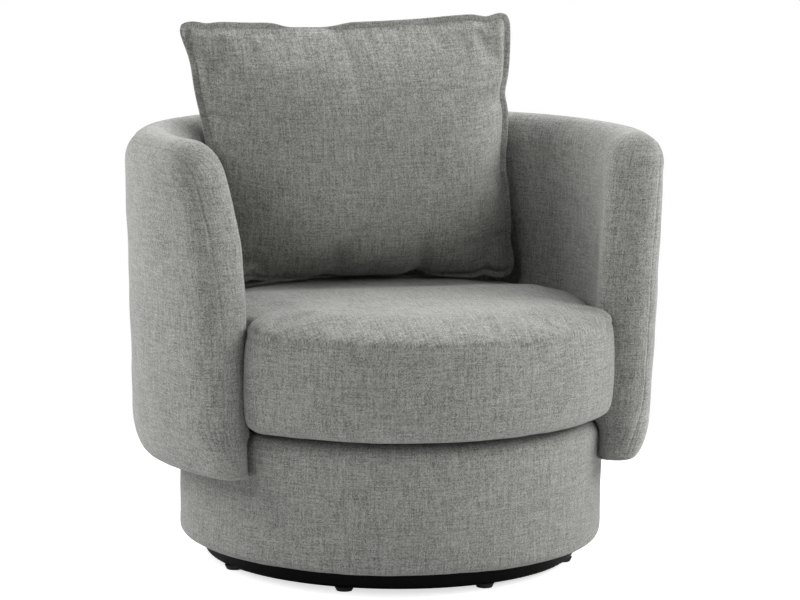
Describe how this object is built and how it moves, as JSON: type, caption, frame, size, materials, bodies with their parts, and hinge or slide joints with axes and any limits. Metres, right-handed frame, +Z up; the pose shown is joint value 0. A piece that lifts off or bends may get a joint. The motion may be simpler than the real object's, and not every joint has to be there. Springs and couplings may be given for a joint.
{
  "type": "swivel armchair",
  "caption": "Upholstered barrel armchair: a curved arm-and-back shell round a padded drum, with a loose seat cushion and a back pillow, on a low round ball-bearing swivel base.",
  "frame": {"origin": "on the floor, under the middle of the chair's plan at rest; the swivel axis stands at x 0, y -0.0269", "axes": "+Z up; the chair faces -Y at rest; +X to the right as seen from in front"},
  "size_m": [0.7685, 0.7159, 0.7653],
  "materials": {
    "black_steel": "satin",
    "zinc_steel": "satin",
    "ball_steel": "polished",
    "cage_plastic": "satin",
    "glide_plastic": "matte",
    "plywood": "matte",
    "hardboard": "matte",
    "foam": "matte",
    "fibre_fill": "matte",
    "upholstery": "matte",
    "pillow_fabric": "matte",
    "webbing": "matte",
    "deck_cloth": "matte",
    "dust_cloth": "matte"
  },
  "bodies": {
    "base": {"base_ring": "black_steel", "base_arms": "black_steel", "glides": "glide_plastic", "lower_swivel_plate": "zinc_steel", "swivel_balls": "ball_steel", "ball_cage": "cage_plastic", "centre_pivot": "zinc_steel", "base_bolts": "zinc_steel", "base_nuts": "zinc_steel"},
    "chair": {"upper_swivel_plate": "zinc_steel", "swivel_screws": "zinc_steel", "drum_bottom_board": "plywood", "drum_ribs": "plywood", "drum_deck_ring": "plywood", "drum_side_board": "hardboard", "drum_foam": "foam", "drum_cover": "upholstery", "dust_cover": "dust_cloth", "webbing_front_to_back": "webbing", "webbing_side_to_side": "webbing", "deck_cloth": "deck_cloth", "shell_bottom_rail": "plywood", "shell_posts": "plywood", "shell_top_rail": "plywood", "shell_inner_board": "hardboard", "shell_outer_board": "hardboard", "shell_foam": "foam", "shell_inner_cover": "upholstery", "shell_outer_cover": "upholstery", "shell_bolts": "zinc_steel", "shell_washers": "zinc_steel", "shell_inserts": "zinc_steel"},
    "seat_cushion": {"seat_foam": "foam", "seat_cover": "upholstery"},
    "pillow": {"pillow_fill": "fibre_fill", "pillow_cover": "pillow_fabric", "pillow_edge": "pillow_fabric"}
  },
  "joints": [
    {"name": "swivel", "type": "hinge", "parent": "base", "child": "chair", "pos_m": [0, -0.02692, 0], "axis": [0, 0, 1], "continuous": true},
    {"name": "seat_cushion_lift", "type": "slide", "parent": "chair", "child": "seat_cushion", "axis": [0, 0, 1], "range_m": [0, 0.42]},
    {"name": "pillow_lift", "type": "slide", "parent": "seat_cushion", "child": "pillow", "axis": [0, 0, 1], "range_m": [0, 0.3]}
  ]
}
